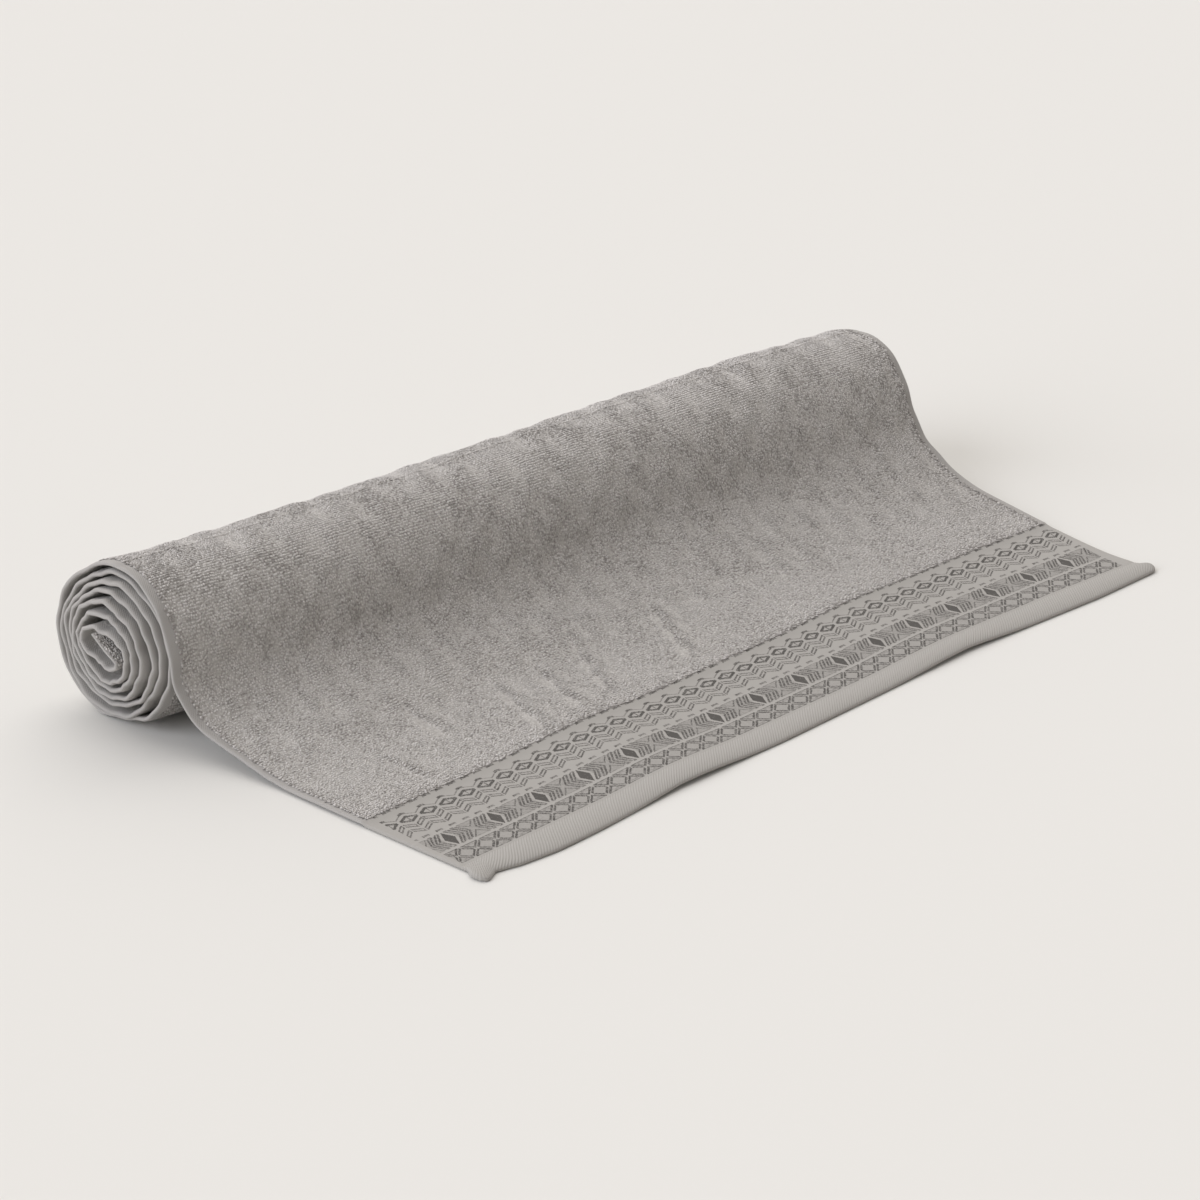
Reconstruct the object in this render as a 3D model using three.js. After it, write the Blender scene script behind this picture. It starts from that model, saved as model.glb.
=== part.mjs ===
// Rolled bath towel.
// One length of terry cloth, rolled up from its far end. Its bordered end lies in front of the roll.
// Millimetres. X runs along the roll, the bordered hem faces -Y, and Z is up.
import * as THREE from 'three';

// The cloth. The weave of the border draws it in, so the pile lies a little wider.
const borderWidth = 700;
const pileWidth = 710;
const sideHemWidth = 9;
const pileEdgeWidth = 2;
const pileThickness = 4.4;
const sideHemThickness = 2.8;
const borderThickness = 2.4;
const endHemThickness = 4;
const acrossSteps = 20;
const clothColour = 0x9c9993;
const clothRoughness = 0.95;

// The wound part
const turns = 7;
const stepsPerTurn = 32;
// The loose end comes down onto the roll beside this step of its first turn.
const meetingStep = 25;
const rollCentreHeight = 58.5;

// Where the middle of the roll lies, at places along its length. The roll is as thick as it is high.
const rollAxis = [
  { x: -350, y: 287, z: 58.5 },
  { x: -250, y: 274, z: 58.5 },
  { x: -100, y: 264, z: 58.5 },
  { x: 100, y: 255, z: 58.5 },
  { x: 250, y: 249, z: 58 },
  { x: 350, y: 243, z: 56.5 },
];

// Distance from the middle of the roll to the middle of the cloth, a row for each turn from the
// outside in. The columns follow one turn: over the top, down the back, under, and up the front.
const turnRadius = [
  {top: 56.5, topBack: 54.5, back: 58, backLow: 58.5, under: 58.5, frontLow: 54.5, front: 51, topFront: 50.5},
  {top: 51, topBack: 49.5, back: 52.5, backLow: 52.5, under: 50, frontLow: 46.5, front: 46, topFront: 45.5},
  {top: 45.5, topBack: 44.5, back: 47, backLow: 45.5, under: 43, frontLow: 40.5, front: 40.5, topFront: 38},
  {top: 39, topBack: 39.5, back: 41.5, backLow: 39, under: 37.5, frontLow: 34, front: 33.5, topFront: 31},
  {top: 32, topBack: 33, back: 33.5, backLow: 29.5, under: 29.5, frontLow: 29, front: 28.5, topFront: 24.5},
  {top: 24.5, topBack: 26, back: 26, backLow: 21.5, under: 23, frontLow: 24, front: 23.5, topFront: 18},
  {top: 16, topBack: 18.5, back: 17.5, backLow: 10.5, under: 12, frontLow: 17.5, front: 18.5, topFront: 10},
];
const innerEndRadius = 7;
// The floor of the core is a fan round a point this far behind the roll's axis.
const coreFanOffset = 2;
const directions = ['top', 'topBack', 'back', 'backLow', 'under', 'frontLow', 'front', 'topFront'];

// How far each turn stands to the right of the loose end: the inner turns stand out at the left.
const turnShift = [3, 3, -1, -3, -7, -9, -11, -14];

// The underside of the loose end, from the hem to the top of the roll, at its left and right edges.
// follow is how far a row goes with the bend of the roll's axis, and bend with that of the border.
// spread is how far the cloth has widened from the border's width to the pile's.
const looseEnd = [
  { at: 'hem edge', leftY: -56, leftZ: 0, rightY: -56, rightZ: 0, follow: 0, bend: 0, spread: 0 },
  { at: 'hem seam', leftY: -32, leftZ: 0, rightY: -32, rightZ: 0, follow: 0, bend: 1, spread: 0 },
  { at: 'border middle', leftY: 0, leftZ: 0, rightY: 0, rightZ: 0.5, follow: 0, bend: 1, spread: 0.1 },
  { at: 'border end', leftY: 53.5, leftZ: 0, rightY: 54, rightZ: 3, follow: 0, bend: 1, spread: 0.8 },
  { at: 'flat pile', leftY: 100, leftZ: 0, rightY: 92, rightZ: 8, follow: 0.1, bend: 0.6, spread: 1 },
  { at: 'first lift', leftY: 140, leftZ: 1.5, rightY: 119, rightZ: 13.5, follow: 0.25, bend: 0.3, spread: 1 },
  { at: 'ramp', leftY: 165, leftZ: 10, rightY: 140, rightZ: 20.5, follow: 0.4, bend: 0, spread: 1 },
  { at: 'ramp', leftY: 188, leftZ: 15.5, rightY: 155, rightZ: 28, follow: 0.6, bend: 0, spread: 1 },
  { at: 'foot of roll', leftY: 207, leftZ: 21.5, rightY: 167, rightZ: 37, follow: 0.8, bend: 0, spread: 1 },
  { at: 'rise', leftY: 221, leftZ: 32, rightY: 175, rightZ: 47, follow: 1, bend: 0, spread: 1 },
  { at: 'rise', leftY: 229.5, leftZ: 45, rightY: 180.5, rightZ: 58, follow: 1, bend: 0, spread: 1 },
  { at: 'meets the roll', leftY: 233, leftZ: 62, rightY: 186, rightZ: 71, follow: 1, bend: 0, spread: 1 },
  { at: 'on the roll', leftY: 238, leftZ: 79.5, rightY: 192, rightZ: 82, follow: 1, bend: 0, spread: 1 },
  { at: 'on the roll', leftY: 248, leftZ: 96, rightY: 199.5, rightZ: 93, follow: 1, bend: 0, spread: 1 },
  { at: 'on the roll', leftY: 261, leftZ: 107.5, rightY: 210, rightZ: 102, follow: 1, bend: 0, spread: 1 },
  { at: 'crest', leftY: 274, leftZ: 112, rightY: 225, rightZ: 108, follow: 1, bend: 0, spread: 1 },
];
const seamRow = 1;
const borderEndRow = 3;
const meetingRow = 11;
const stepRamp = 0.08;

// How the lines of the border bend, towards the roll where y is above 0.
const borderBend = [
  { x: -350, y: -0.5 },
  { x: -280, y: -0.5 },
  { x: -200, y: 0.5 },
  { x: 0, y: 0 },
  { x: 200, y: 1 },
  { x: 260, y: -1 },
  { x: 300, y: -4 },
  { x: 350, y: -7 },
];

// How the folded edge of the hem wanders from its straight line.
const hemLine = [
  { x: -350, y: 3 },
  { x: -282, y: -4 },
  { x: -244, y: -3 },
  { x: -162, y: 2.5 },
  { x: -60, y: 0.5 },
  { x: 50, y: 3 },
  { x: 144, y: 5.5 },
  { x: 190, y: 2 },
  { x: 282, y: -3.5 },
  { x: 350, y: -4.6 },
];

// Two low ripples across the border, which end in the flat pile.
const ripples = [
  { x: -145, height: 2.4, halfWidth: 75 },
  { x: 135, height: 2.2, halfWidth: 85 },
];
const rippleEnd = { first: 3, last: 6 };

// Soft slanting waves in the pile between the border and the roll.
const waveHeight = 1.3;
const wavePeriodX = 230;
const wavePeriodY = 95;
const waveFade = 4;

const leftEdge = -borderWidth / 2;
const rightEdge = leftEdge + pileWidth;

function mix(a, b, share) {
  return a + (b - a) * share;
}

function smooth(share) {
  const t = Math.min(1, Math.max(0, share));
  return t * t * (3 - 2 * t);
}

// A curve that passes through evenly spaced values.
function curveThrough(values, position) {
  const last = values.length - 1;
  const i = Math.min(last - 1, Math.max(0, Math.floor(position)));
  const t = position - i;
  const p0 = values[Math.max(0, i - 1)];
  const p1 = values[i];
  const p2 = values[i + 1];
  const p3 = values[Math.min(last, i + 2)];
  const slopeIn = (p2 - p0) / 2;
  const slopeOut = (p3 - p1) / 2;
  const t2 = t * t;
  const t3 = t2 * t;
  return (2 * t3 - 3 * t2 + 1) * p1 + (t3 - 2 * t2 + t) * slopeIn
    + (3 * t2 - 2 * t3) * p2 + (t3 - t2) * slopeOut;
}

// One column of a table whose rows stand at places x, at any x.
function alongTable(table, name, x) {
  const last = table.length - 1;
  let i = 0;
  while (i < last - 1 && x > table[i + 1].x) {
    i += 1;
  }
  const a = table[i];
  const b = table[i + 1];
  return mix(a[name], b[name], (x - a.x) / (b.x - a.x));
}

const axisY = (x) => alongTable(rollAxis, 'y', x);
const axisZ = (x) => alongTable(rollAxis, 'z', x);
const rollScale = (x) => axisZ(x) / rollCentreHeight;

const radii = turnRadius.flatMap((turn) => directions.map((name) => turn[name]));
radii.push(innerEndRadius);

function woundPoint(x, turn) {
  const radius = rollScale(x) * curveThrough(radii, turn * directions.length);
  const angle = turn * 2 * Math.PI;
  return { y: axisY(x) + radius * Math.sin(angle), z: axisZ(x) + radius * Math.cos(angle) };
}

const column = (name) => looseEnd.map((row) => row[name]);
const looseColumns = {
  leftY: column('leftY'),
  leftZ: column('leftZ'),
  rightY: column('rightY'),
  rightZ: column('rightZ'),
  follow: column('follow'),
  bend: column('bend'),
  spread: column('spread'),
};
const looseValue = (name, row, crest) => curveThrough([...looseColumns[name], crest], row);

function rippleHeight(x, row) {
  const across = ripples.map((ripple) => {
    const share = Math.min(1, Math.abs(x - ripple.x) / ripple.halfWidth);
    return ripple.height * (1 + Math.cos(Math.PI * share)) / 2;
  });
  const { first, last } = rippleEnd;
  return Math.max(...across) * smooth((last - row) / (last - first));
}

// Grows from 0 where the loose end meets the roll to 1 at the roll's top.
const onRoll = (row) => smooth((row - meetingRow) / (looseEnd.length - meetingRow));

// The underside of the loose end. The crest row is followed by the top of the first turn.
function loosePoint(x, row, share) {
  const leftY = looseValue('leftY', row, axisY(leftEdge));
  const rightY = looseValue('rightY', row, axisY(rightEdge));
  const straight = mix(axisY(leftEdge), axisY(rightEdge), share);
  const withRoll = looseValue('follow', row, 1) * (axisY(x) - straight);
  const withBorder = looseValue('bend', row, 0) * alongTable(borderBend, 'y', x);
  const withHem = smooth(seamRow - row) * alongTable(hemLine, 'y', x);
  const y = mix(leftY, rightY, share) + withRoll + withBorder + withHem;
  const lying = smooth((row - borderEndRow) / waveFade) * smooth((meetingRow - row) / waveFade);
  const wave = waveHeight * lying * (1 + Math.sin(2 * Math.PI * (x / wavePeriodX + y / wavePeriodY)));
  const topOfRoll = (at) => axisZ(at) + rollScale(at) * radii[0] - pileThickness / 2;
  const leftZ = looseValue('leftZ', row, topOfRoll(leftEdge));
  const rightZ = looseValue('rightZ', row, topOfRoll(rightEdge));
  const straightTop = mix(topOfRoll(leftEdge), topOfRoll(rightEdge), share);
  const onTop = onRoll(row) * (topOfRoll(x) - straightTop);
  return { y, z: Math.max(0, mix(leftZ, rightZ, share) + wave + rippleHeight(x, row) + onTop) };
}

// Places along the cloth, from the hem to the inner end: rows of the loose end, then turns.
function layOutPlaces() {
  const rows = [0, 0.5, seamRow, seamRow + stepRamp, 1.5, 2, 2.5, borderEndRow, borderEndRow + stepRamp];
  for (let row = borderEndRow + 0.5; row < meetingRow; row += 0.5) {
    rows.push(row);
  }
  const stepsOnRoll = stepsPerTurn - meetingStep;
  for (let i = 0; i < stepsOnRoll; i += 1) {
    rows.push(mix(meetingRow, looseEnd.length, i / stepsOnRoll));
  }
  const places = rows.map((row) => ({ row }));
  const meeting = rows.length - stepsOnRoll;
  for (let i = 0; i <= turns * stepsPerTurn; i += 1) {
    places.push({ turn: i / stepsPerTurn });
  }
  return { places, meeting };
}

const { places, meeting } = layOutPlaces();
const lastPlace = places.length - 1;
const coreStart = lastPlace - stepsPerTurn;

// Places across the cloth, from its left edge: side hem, edge of the pile, pile, and back again.
const across = [0, sideHemWidth, sideHemWidth + pileEdgeWidth];
for (let i = 1; i < acrossSteps; i += 1) {
  across.push(mix(across[2], borderWidth - across[2], i / acrossSteps));
}
across.push(borderWidth - across[2], borderWidth - across[1], borderWidth);
const lastAcross = across.length - 1;

function shiftOf(place) {
  if (place.row !== undefined) {
    return turnShift[0] * onRoll(place.row);
  }
  return curveThrough(turnShift, place.turn);
}

function thicknessOf(place, j) {
  const onSideHem = j <= 1 || j >= lastAcross - 1;
  if (place.row !== undefined && place.row <= seamRow) {
    return endHemThickness;
  }
  if (onSideHem) {
    return sideHemThickness;
  }
  return place.row !== undefined && place.row <= borderEndRow ? borderThickness : pileThickness;
}

// Both faces of the cloth at one place across: outer shows on top and outside, inner is under it.
function faces(j) {
  const share = across[j] / borderWidth;
  const line = places.map((place) => {
    const loose = place.row !== undefined;
    const spread = loose ? looseValue('spread', place.row, 1) : 1;
    const x = leftEdge + share * mix(borderWidth, pileWidth, spread) + shiftOf(place);
    const point = loose ? loosePoint(x, place.row, share) : woundPoint(x, place.turn);
    return { x, ...point, place };
  });
  return line.map((here, k) => {
    const before = line[Math.max(0, k - 1)];
    const after = line[Math.min(lastPlace, k + 1)];
    const length = Math.hypot(after.y - before.y, after.z - before.z);
    const normalY = -(after.z - before.z) / length;
    const normalZ = (after.y - before.y) / length;
    const thickness = thicknessOf(here.place, j);
    const below = here.place.row !== undefined ? 0 : thickness / 2;
    const above = thickness - below;
    const pointAt = (offset) => [
      here.x,
      here.y + normalY * offset,
      Math.max(0, here.z + normalZ * offset),
    ];
    return { outer: pointAt(above), inner: pointAt(-below) };
  });
}

// The closed skin. Turns touch each other inside the roll, and part at its ends as far as the
// side hems reach, so each end shows the spiral round its open core.
function towelGeometry() {
  const grid = across.map((distance, j) => faces(j));
  const positions = [];
  const triangles = [];
  const known = new Map();
  const vertex = (side, k, j) => {
    const key = `${side} ${k} ${j}`;
    if (!known.has(key)) {
      known.set(key, positions.length / 3);
      positions.push(...grid[j][k][side]);
    }
    return known.get(key);
  };
  const quad = (a, b, c, d) => {
    triangles.push(a, b, c, a, c, d);
  };
  const outer = (k, j) => vertex('outer', k, j);
  const inner = (k, j) => vertex('inner', k, j);
  const outerSkin = (k, j) => quad(outer(k, j), outer(k, j + 1), outer(k + 1, j + 1), outer(k + 1, j));
  const innerSkin = (k, j) => quad(inner(k, j), inner(k + 1, j), inner(k + 1, j + 1), inner(k, j + 1));

  const exposedEnd = meeting + stepsPerTurn;
  const rim = [0, lastAcross - 1];
  for (let k = 0; k < lastPlace; k += 1) {
    const shows = k < exposedEnd;
    const lining = k < meeting;
    for (let j = 0; j < lastAcross; j += 1) {
      if (shows || rim.includes(j)) {
        outerSkin(k, j);
      }
      if (lining || rim.includes(j)) {
        innerSkin(k, j);
      }
    }
    quad(outer(k, 0), outer(k + 1, 0), inner(k + 1, 0), inner(k, 0));
    quad(outer(k, lastAcross), inner(k, lastAcross), inner(k + 1, lastAcross), outer(k + 1, lastAcross));
  }

  const nextTurn = (k) => k + stepsPerTurn;
  for (let k = meeting; k < coreStart; k += 1) {
    const left = 1;
    const right = lastAcross - 1;
    quad(inner(k, left), inner(k + 1, left), outer(nextTurn(k + 1), left), outer(nextTurn(k), left));
    quad(inner(k, right), outer(nextTurn(k), right), outer(nextTurn(k + 1), right), inner(k + 1, right));
  }

  for (let j = 0; j < lastAcross; j += 1) {
    quad(outer(0, j), inner(0, j), inner(0, j + 1), outer(0, j + 1));
  }
  for (const j of rim) {
    quad(outer(lastPlace, j), outer(lastPlace, j + 1), inner(lastPlace, j + 1), inner(lastPlace, j));
  }
  for (let j = 1; j < lastAcross - 1; j += 1) {
    const under = nextTurn(meeting);
    quad(inner(meeting, j), outer(under, j), outer(under, j + 1), inner(meeting, j + 1));
  }

  const coreFloor = (j, facesLeft) => {
    const ring = [];
    for (let k = coreStart; k <= lastPlace; k += 1) {
      ring.push(inner(k, j));
    }
    ring.push(outer(lastPlace, j));
    const x = grid[j][lastPlace].outer[0];
    const middle = positions.length / 3;
    positions.push(x, axisY(x) + coreFanOffset, axisZ(x));
    ring.forEach((here, i) => {
      const next = ring[(i + 1) % ring.length];
      triangles.push(...(facesLeft ? [here, next, middle] : [next, here, middle]));
    });
  };
  coreFloor(1, true);
  coreFloor(lastAcross - 1, false);

  const geometry = new THREE.BufferGeometry();
  geometry.setAttribute('position', new THREE.Float32BufferAttribute(positions, 3));
  geometry.setIndex(triangles);
  geometry.computeBoundingBox();
  const box = geometry.boundingBox;
  geometry.translate(-(box.min.x + box.max.x) / 2, -(box.min.y + box.max.y) / 2, -box.min.z);
  geometry.computeVertexNormals();
  return geometry;
}

const terry = new THREE.MeshStandardMaterial({
  color: clothColour,
  roughness: clothRoughness,
  metalness: 0,
});
const towel = new THREE.Mesh(towelGeometry(), terry);
towel.name = 'rolled_towel';

const group = new THREE.Group();
group.add(towel);

export default group;
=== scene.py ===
# %% [markdown]
# Rolled bath towel.
# The real thing is one length of terry cloth: cotton loops stand on both faces of a plain ground
# weave, the long sides have narrow hems, and a flat woven border runs across near the end hem. It
# has been rolled up from its far end and put down with the bordered end lying in front.
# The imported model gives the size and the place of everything. This script puts the real cloth there.

import math

import bmesh
import bpy
import numpy as np
from mathutils import Matrix, Vector


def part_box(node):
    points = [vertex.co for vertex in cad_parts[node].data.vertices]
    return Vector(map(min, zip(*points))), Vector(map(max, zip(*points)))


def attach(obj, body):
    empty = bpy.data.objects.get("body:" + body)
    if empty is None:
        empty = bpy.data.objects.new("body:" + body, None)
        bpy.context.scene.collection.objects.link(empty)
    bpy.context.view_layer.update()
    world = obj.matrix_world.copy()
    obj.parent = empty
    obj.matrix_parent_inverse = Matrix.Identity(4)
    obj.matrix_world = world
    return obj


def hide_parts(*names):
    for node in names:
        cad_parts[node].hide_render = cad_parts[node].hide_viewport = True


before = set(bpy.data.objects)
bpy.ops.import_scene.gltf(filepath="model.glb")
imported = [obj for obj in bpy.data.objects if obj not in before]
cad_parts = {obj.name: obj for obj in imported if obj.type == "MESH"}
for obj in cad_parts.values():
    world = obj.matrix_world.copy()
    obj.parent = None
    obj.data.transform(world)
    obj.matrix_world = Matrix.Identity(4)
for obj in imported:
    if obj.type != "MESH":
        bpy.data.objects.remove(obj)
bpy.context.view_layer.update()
cad_low, cad_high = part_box("rolled_towel")
print("CAD towel:", [round(size, 3) for size in cad_high - cad_low])

# %% [markdown]
# All sizes below are in millimetres and in one drawing frame: x runs along the roll from the middle
# of the border, y is 0 on the row of solid diamonds and grows towards the roll, and z is up from
# the surface. Two of the towel's edges are known in both frames, and they tie the two together.

# %% Drawing frame
MM = 0.001
LEFTMOST_EDGE = -364.0
FOREMOST_EDGE = -60.6
frame_shift = Vector((cad_low.x - LEFTMOST_EDGE * MM, cad_low.y - FOREMOST_EDGE * MM, 0.0))
print("drawing frame to CAD frame:", [round(value, 4) for value in frame_shift])


def to_frame(points):
    """Points in drawing millimetres, as metres in the CAD frame."""
    return np.asarray(points, float) * MM + np.array(frame_shift)


# %% [markdown]
# The form of the cloth. A simulation could roll the towel up, but it would not stop at the turns of
# the real one, so the form is drawn: a spiral whose radius is read off at eight directions in each
# turn, and a loose end given by its left and right edges. Smooth curves through these few values
# give every point between. The tables are the same as in the CAD source, but for the end hem, which
# is a little flatter here and bends less at its right end.

# %% Tables of the form
BORDER_WIDTH = 700.0
PILE_WIDTH = 710.0
LEFT_EDGE = -BORDER_WIDTH / 2
RIGHT_EDGE = LEFT_EDGE + PILE_WIDTH
ROLL_CENTRE_HEIGHT = 58.5
TURNS = 7

# The middle of the roll. Columns: x, y, z.
ROLL_AXIS = np.array([
    (-350, 287, 58.5),
    (-250, 274, 58.5),
    (-100, 264, 58.5),
    (100, 255, 58.5),
    (250, 249, 58),
    (350, 243, 56.5),
])

# From the middle of the roll to the middle of the cloth, a row for each turn from the outside in.
# Columns: top, top back, back, low back, under, low front, front, top front.
TURN_RADIUS = [
    (56.5, 54.5, 58, 58.5, 58.5, 54.5, 51, 50.5),
    (51, 49.5, 52.5, 52.5, 50, 46.5, 46, 45.5),
    (45.5, 44.5, 47, 45.5, 43, 40.5, 40.5, 38),
    (39, 39.5, 41.5, 39, 37.5, 34, 33.5, 31),
    (32, 33, 33.5, 29.5, 29.5, 29, 28.5, 24.5),
    (24.5, 26, 26, 21.5, 23, 24, 23.5, 18),
    (16, 18.5, 17.5, 10.5, 12, 17.5, 18.5, 10),
]
INNER_END_RADIUS = 7
DIRECTIONS = 8
RADII = np.array([radius for turn in TURN_RADIUS for radius in turn] + [INNER_END_RADIUS], float)

# How far each turn stands to the right of the loose end, from the outside in.
TURN_SHIFT = np.array([3, 3, -1, -3, -7, -9, -11, -14], float)

# The underside of the loose end, from the hem to the crest of the roll. Columns: y and z at the left
# edge, y and z at the right edge, how far the row follows the roll's bend, how far it follows the
# border's bend, and how far it has widened from the border's width to the pile's.
LOOSE_END = np.array([
    (-56, 0, -56, 0, 0, 0, 0),
    (-32, 0, -32, 0, 0, 1, 0),
    (0, 0, 0, 0.5, 0, 1, 0.1),
    (53.5, 0, 54, 3, 0, 1, 0.8),
    (100, 0, 92, 8, 0.1, 0.6, 1),
    (140, 1.5, 119, 13.5, 0.25, 0.3, 1),
    (165, 10, 140, 20.5, 0.4, 0, 1),
    (188, 15.5, 155, 28, 0.6, 0, 1),
    (207, 21.5, 167, 37, 0.8, 0, 1),
    (221, 32, 175, 47, 1, 0, 1),
    (229.5, 45, 180.5, 58, 1, 0, 1),
    (233, 62, 186, 71, 1, 0, 1),
    (238, 79.5, 192, 82, 1, 0, 1),
    (248, 96, 199.5, 93, 1, 0, 1),
    (261, 107.5, 210, 102, 1, 0, 1),
    (274, 112, 225, 108, 1, 0, 1),
])
SEAM_ROW, DIAMOND_ROW, BORDER_END_ROW, MEETING_ROW, CREST_ROW = 1, 2, 3, 11, 16

# How the lines of the border bend. Columns: x, y.
BORDER_BEND = np.array([
    (-350, -0.5), (-280, -0.5), (-200, 0.5), (0, 0), (200, 1), (260, -1), (300, -4), (350, -7),
])

# How the folded edge of the hem wanders from its straight line. Columns: x, y.
HEM_LINE = np.array([
    (-350, 3), (-282, -4), (-244, -3), (-162, 2.5), (-60, 0.5), (50, 3), (144, 5.5), (190, 2),
    (282, -3.5), (350, -3.4),
])

# Two low ripples across the border. Columns: x, height, half width.
RIPPLES = [(-145, 2.4, 75), (135, 2.2, 85)]
RIPPLE_FIRST_ROW, RIPPLE_LAST_ROW = 3, 6

# Soft slanting waves in the pile between the border and the roll.
WAVE_HEIGHT, WAVE_PERIOD_X, WAVE_PERIOD_Y, WAVE_FADE = 1.3, 230.0, 95.0, 4

# Thickness of the cloth: pile, border. The end hem is a puffy tube, a little flatter than in the CAD.
PILE_THICKNESS = 4.4
BORDER_THICKNESS = 2.4
HEM_EDGE_THICKNESS = 2.2
HEM_PUFF = 1.8
# Over how many rows the thickness changes where the pile starts and at the seam, and how far the
# hem's goes on past the seam.
PILE_STEP, SEAM_STEP, PAST_SEAM = 0.08, 0.05, 0.02

# %% [markdown]
# What follows is finer than the CAD solid: how the weave has slipped sideways as the towel was laid
# down, how its left side is drawn in, six soft creases in the pile that were pressed in by folding,
# small bends in the rims of the turns, low lumps all over the roll, how the roll springs open at its
# left end, the inner end across the core, and the ends of the hem, which stick out at the corners.

# %% Tables of the creases and lumps
# How far the border has slipped sideways. Columns: x, shift. It fades out between two rows.
BORDER_SLIP = np.array([
    (-322, -1), (-280, -1.6), (-238, -2.4), (-154, -1.2), (-70, -0.6), (-28, 0), (14, 2.1), (56, 2.9),
    (98, 1.1), (140, 0), (182, 1.6), (224, 3), (266, 1.8), (308, 0.6), (350, 0),
])
SLIP_LAST_ROW = 5

# The left side edge of the loose end is drawn in, and rises later than the cloth beside it.
# Columns: row, how far in, how far up. Each fades out towards the middle.
LEFT_SIDE = np.array([
    (0, 7, 0), (4, 6.5, 0), (5, 6.5, -0.5), (6, 6, -6), (7, 5, -4.5), (8, 3, -2.5), (10, 0, 0),
    (24, 0, 0),
])
DRAWN_IN_REACH, RISE_REACH = 16.0, 90.0

# Soft ridges in the loose pile. Columns: x and y near the roll, x and y near the border, height.
CREASES = [
    (-211, 160, -217, 99, 1.0),
    (-268, 119, -269, 64.5, 1.5),
    (-135, 157, -168, 50, 1.2),
    (-99, 148, -125, 63, 0.9),
    (-48, 165, -93, 65, 1.0),
    (30, 161, -12, 65, 1.6),
]
CREASE_STEEP_SIDE, CREASE_SOFT_SIDE = 5.0, 16.0

# Bends in the rims at the two ends of the roll. Columns: how many in a turn, height, start.
KINKS = [(7.3, 0.8, 0.4), (15.7, 0.65, 1.7)]
# How far they reach in along the roll, and over what share of the first turn they grow.
KINK_REACH, KINKS_GROW = 30.0, 0.25

# Low lumps of the wound pile. Columns: length along x, y and z of one wave, height, start.
LUMPS = [(61, 47, 33, 0.3, 0.0), (-38, 52, 44, 0.3, 1.1), (27, -71, 39, 0.25, 2.3),
         (143, 90, -70, 0.3, 0.6)]
# How far they lower the cloth on the whole. They grow over three rows of the pile and off the floor.
LUMPS_LOWER, LUMPS_GROW_ROWS, LUMPS_GROW_HEIGHT = 0.4, 3, 12

# At its left end the roll springs open a little and its underside lifts. A row for each turn from
# the outside in, how far outwards: top, top back, back, low back, under, low front, front, top front.
SPRING = [
    (0, 2.5, 7, 6, -4.5, -3.5, 0, 0),
    (0, 1, 6, 7, 2.5, -2.5, 0, 0),
    (0, 0, 2, 2, 0, 0, 0, 0),
    (0, 0, 0, 0, 0, 0, 0, 0),
    (0, 0, 0, 0, 0, 0, 0, 0),
    (0, 0, 0, 0, 0, 0, 0, -1),
    (-2.2, 0.8, 2.3, -1.7, -3, -3, 0, 0),
]
SPRING_REACH = 45.0

# The inner end is folded back and lies straight across the core. Columns: y and z from the middle of
# the roll, evenly spaced along the last part of the last turn.
CORE_FOLD = np.array([
    (-10.7, -10.7), (-17, -8), (-17.5, -3.5), (-12, 0), (-6.5, 3.8), (-1, 7.6), (4.5, 11.5),
])
# The turn at which the fold begins, and over what share of a turn it takes over from the spiral.
FOLD_FROM, FOLD_BLEND = 6.625, 0.03

# How far the two ends of the end hem stick out past the side edges, over what share of the width, and
# over how much of the hem from its folded edge.
HEM_END_OUT_LEFT, HEM_END_OUT_RIGHT, HEM_END_REACH, HEM_END_ROWS = 4.0, 4.5, 0.02, 0.7
# There the folded edge stands out or is drawn in. Columns: x, how far in, half width.
HEM_DENTS = [(-343, -3.0, 8), (-328, 4.1, 10), (358, 6.0, 12)]
# By what share the cloth lies lower at the folded edge, and over how much of the hem.
HEM_EDGE_DROP, HEM_EDGE_ROWS = 0.15, 0.2


# %% Curves through the tables
def mix(a, b, share):
    return a + (b - a) * share


def smooth(share):
    t = np.clip(share, 0, 1)
    return t * t * (3 - 2 * t)


def curve_through(values, position):
    """A smooth curve through evenly spaced values."""
    last = len(values) - 1
    i = np.clip(np.floor(position).astype(int), 0, last - 1)
    t = position - i
    before = values[np.maximum(i - 1, 0)]
    start = values[i]
    end = values[i + 1]
    after = values[np.minimum(i + 2, last)]
    slope_in = (end - before) / 2
    slope_out = (after - start) / 2
    t2 = t * t
    t3 = t2 * t
    return ((2 * t3 - 3 * t2 + 1) * start + (t3 - 2 * t2 + t) * slope_in
            + (3 * t2 - 2 * t3) * end + (t3 - t2) * slope_out)


def along_table(table, column, x):
    """A column of a table whose rows stand at places x, at any x."""
    places = table[:, 0]
    i = np.clip(np.searchsorted(places, x, side="right") - 1, 0, len(places) - 2)
    share = (x - places[i]) / (places[i + 1] - places[i])
    return mix(table[i, column], table[i + 1, column], share)


def axis_y(x):
    return along_table(ROLL_AXIS, 1, x)


def axis_z(x):
    return along_table(ROLL_AXIS, 2, x)


def loose_value(column, row, crest):
    return curve_through(np.append(LOOSE_END[:, column], crest), row)


# %% [markdown]
# A place on the cloth is a pair: how far across it is, from 0 at the left edge to 1 at the right,
# and how far along. Along the loose end the place counts the table's rows, and from row 16, the
# crest, each further 1 is one turn of the roll. The next functions give the middle of the cloth
# there, and the direction that its upper face looks in.

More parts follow.
